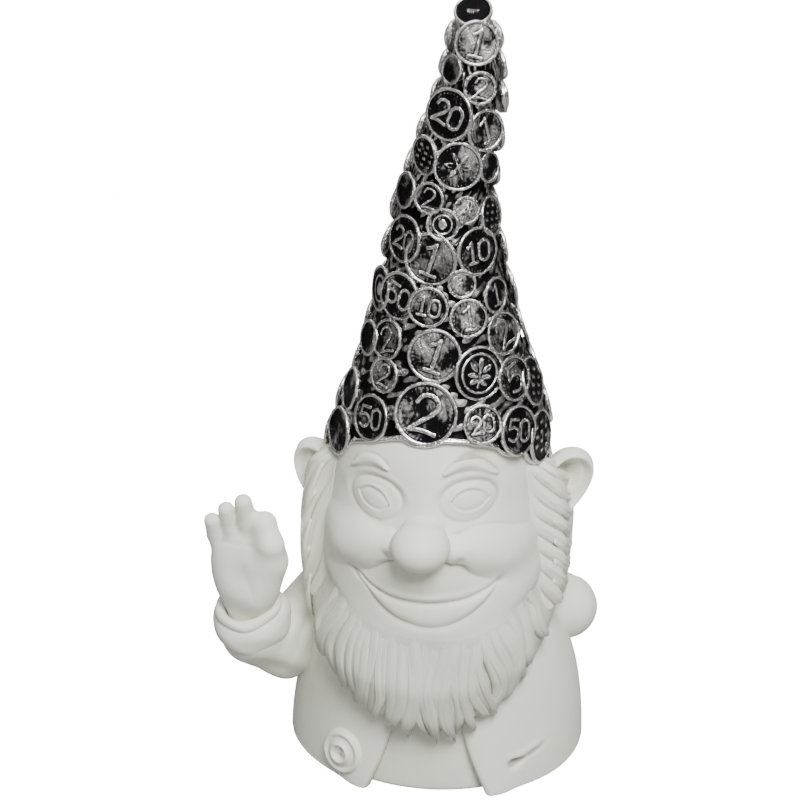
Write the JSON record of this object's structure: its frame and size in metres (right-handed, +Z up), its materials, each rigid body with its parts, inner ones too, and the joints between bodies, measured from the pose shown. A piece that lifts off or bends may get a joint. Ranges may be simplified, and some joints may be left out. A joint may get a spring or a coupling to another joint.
{
  "type": "garden gnome",
  "caption": "Bust-type garden gnome with a full beard and a raised hand, wearing a tall leaning cone hat covered in coins.",
  "frame": {"origin": "on the ground at the middle of the coat's hem", "axes": "+Z up towards the hat's tip; the face looks along -Y; +X is the gnome's left"},
  "size_m": [0.1697, 0.1496, 0.3388],
  "materials": {
    "figure_white": "matte unglazed warm white, fine and chalky",
    "base_white": "matte, rougher underside",
    "hat_patina": "black antique patina over cast metal, worn bright at the rim",
    "coin_silver": "polished silver plate with black patina in the recesses"
  },
  "bodies": {
    "root": {"torso_shell": "figure_white", "base_plate": "base_white", "coat": "figure_white", "coat_button": "figure_white", "head_shell": "figure_white", "nose": "figure_white", "left_ear": "figure_white", "right_ear": "figure_white", "beard": "figure_white", "left_side_hair": "figure_white", "right_side_hair": "figure_white", "back_hair": "figure_white", "right_sleeve": "figure_white", "right_cuff": "figure_white", "right_hand": "figure_white", "left_sleeve": "figure_white", "left_cuff": "figure_white", "left_hand": "figure_white", "hat_shell": "hat_patina", "coins_broad": "coin_silver", "coins_large": "coin_silver", "coins_medium": "coin_silver", "coins_small": "coin_silver", "coins_tiny": "coin_silver"}
  },
  "joints": []
}
